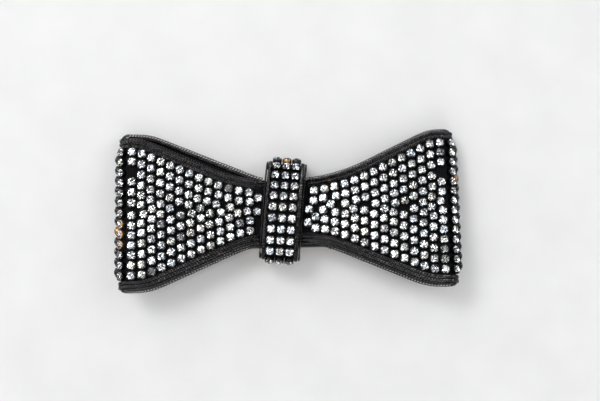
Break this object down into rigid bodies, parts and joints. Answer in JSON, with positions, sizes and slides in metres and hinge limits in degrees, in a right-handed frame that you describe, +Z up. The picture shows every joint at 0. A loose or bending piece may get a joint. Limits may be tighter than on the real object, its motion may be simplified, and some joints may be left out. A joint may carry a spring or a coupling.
{
  "type": "bow brooch",
  "caption": "Bow-shaped brooch of folded strap wings covered in cup-set crystals, edged with fine curb chain, with a crystal knot and a locking bar pin behind.",
  "frame": {"origin": "on the resting surface, under the middle of the brooch's overall box", "axes": "+X along the bow to its right wing as seen from the front, +Y towards its upper edge, +Z up out of its face, which leans back so that the pin's catch and the wings' upper corners touch the surface"},
  "size_m": [0.1012, 0.0474, 0.0163],
  "materials": {
    "crystal": "clear faceted glass, foiled behind",
    "stone_cup": "gunmetal plated, worn to brass in places",
    "edge_chain": "gunmetal plated, bright on its high links",
    "strap_cloth": "black grosgrain over a stiff lining",
    "felt_padding": "dark felt",
    "backing_leather": "thin black suede leather",
    "pin_brass": "satin, lightly tarnished"
  },
  "bodies": {
    "bow": {"back_patch": "backing_leather", "catch_housing": "pin_brass", "hinge_rivet": "pin_brass", "knot_band": "strap_cloth", "knot_left_column_crystals": "crystal", "knot_left_column_cups": "stone_cup", "knot_left_inner_chain": "edge_chain", "knot_left_outer_chain": "edge_chain", "knot_middle_column_crystals": "crystal", "knot_middle_column_cups": "stone_cup", "knot_padding": "felt_padding", "knot_right_column_crystals": "crystal", "knot_right_column_cups": "stone_cup", "knot_right_inner_chain": "edge_chain", "knot_right_outer_chain": "edge_chain", "left_wing_chevron_1_crystals": "crystal", "left_wing_chevron_1_cups": "stone_cup", "left_wing_chevron_2_crystals": "crystal", "left_wing_chevron_2_cups": "stone_cup", "left_wing_chevron_3_crystals": "crystal", "left_wing_chevron_3_cups": "stone_cup", "left_wing_chevron_4_crystals": "crystal", "left_wing_chevron_4_cups": "stone_cup", "left_wing_chevron_5_crystals": "crystal", "left_wing_chevron_5_cups": "stone_cup", "left_wing_chevron_6_crystals": "crystal", "left_wing_chevron_6_cups": "stone_cup", "left_wing_lower_inner_chain": "edge_chain", "left_wing_lower_outer_chain": "edge_chain", "left_wing_lower_rim_chain": "edge_chain", "left_wing_strap": "strap_cloth", "left_wing_tip_columns_crystals": "crystal", "left_wing_tip_columns_cups": "stone_cup", "left_wing_upper_inner_chain": "edge_chain", "left_wing_upper_outer_chain": "edge_chain", "left_wing_upper_rim_chain": "edge_chain", "pin_bar": "pin_brass", "right_wing_chevron_1_crystals": "crystal", "right_wing_chevron_1_cups": "stone_cup", "right_wing_chevron_2_crystals": "crystal", "right_wing_chevron_2_cups": "stone_cup", "right_wing_chevron_3_crystals": "crystal", "right_wing_chevron_3_cups": "stone_cup", "right_wing_chevron_4_crystals": "crystal", "right_wing_chevron_4_cups": "stone_cup", "right_wing_chevron_5_crystals": "crystal", "right_wing_chevron_5_cups": "stone_cup", "right_wing_chevron_6_crystals": "crystal", "right_wing_chevron_6_cups": "stone_cup", "right_wing_lower_inner_chain": "edge_chain", "right_wing_lower_outer_chain": "edge_chain", "right_wing_lower_rim_chain": "edge_chain", "right_wing_strap": "strap_cloth", "right_wing_tip_columns_crystals": "crystal", "right_wing_tip_columns_cups": "stone_cup", "right_wing_upper_inner_chain": "edge_chain", "right_wing_upper_outer_chain": "edge_chain", "right_wing_upper_rim_chain": "edge_chain"},
    "stem": {"pin_stem": "pin_brass"},
    "rotor": {"catch_rotor": "pin_brass"}
  },
  "joints": [
    {"name": "pin_stem_hinge", "type": "hinge", "parent": "bow", "child": "stem", "pos_m": [-0.012, -0.00913, 0.00175], "axis": [0, 0.9837, -0.1796], "range_deg": [0, 85]},
    {"name": "catch_rotor_turn", "type": "hinge", "parent": "bow", "child": "rotor", "pos_m": [0.0104, -0.00913, 0.00175], "axis": [1, 0, 0], "range_deg": [0, 85]}
  ]
}
